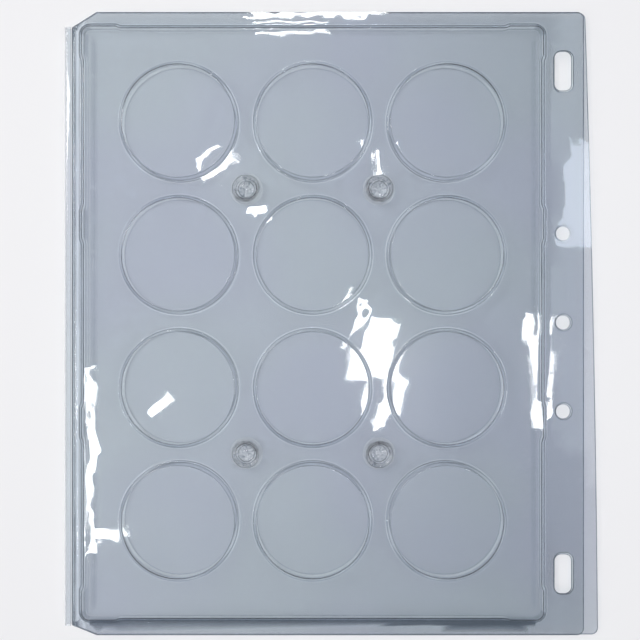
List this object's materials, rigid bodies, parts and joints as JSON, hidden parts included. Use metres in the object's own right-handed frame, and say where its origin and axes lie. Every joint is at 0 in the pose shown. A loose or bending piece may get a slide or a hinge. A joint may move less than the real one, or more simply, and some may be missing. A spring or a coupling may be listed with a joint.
{
  "type": "coin capsule album page",
  "caption": "Clear hinged album page: two thermoformed leaves fold on a left-edge bead, hold round coin capsules in facing wells, snap shut, and have a punched binder strip.",
  "frame": {"origin": "under the middle of the closed page, on the plane that the back wells' flat floors rest on", "axes": "+X across the page from the hinge bead to the binder strip, +Y up the page, +Z out of the front leaf"},
  "size_m": [0.24, 0.28, 0.0079],
  "materials": {
    "front_sheet": "clear, faintly blue-grey PET sheet, gloss",
    "back_sheet": "clear, faintly blue PET sheet, gloss",
    "hinge_sheet": "clear PET sheet, gloss, worked into a bead",
    "stud_sheet": "clear PET sheet, gloss, deep drawn",
    "socket_sheet": "clear PET sheet, gloss, deep drawn"
  },
  "bodies": {
    "back_leaf": {"back_rim": "back_sheet", "back_pan": "back_sheet", "back_snap_socket_1": "socket_sheet", "back_snap_socket_2": "socket_sheet", "back_snap_socket_3": "socket_sheet", "back_snap_socket_4": "socket_sheet"},
    "hinge_bead": {"hinge_bead": "hinge_sheet"},
    "front_leaf": {"front_rim": "front_sheet", "front_pan": "front_sheet", "front_snap_stud_1": "stud_sheet", "front_snap_stud_2": "stud_sheet", "front_snap_stud_3": "stud_sheet", "front_snap_stud_4": "stud_sheet"}
  },
  "joints": [
    {"name": "back_crease", "type": "hinge", "parent": "back_leaf", "child": "hinge_bead", "pos_m": [-0.1168, 0, 0.0033], "axis": [0, -1, 0], "range_deg": [0, 90]},
    {"name": "front_crease", "type": "hinge", "parent": "hinge_bead", "child": "front_leaf", "pos_m": [-0.1168, 0, 0.0046], "axis": [0, -1, 0], "range_deg": [0, 90]}
  ]
}
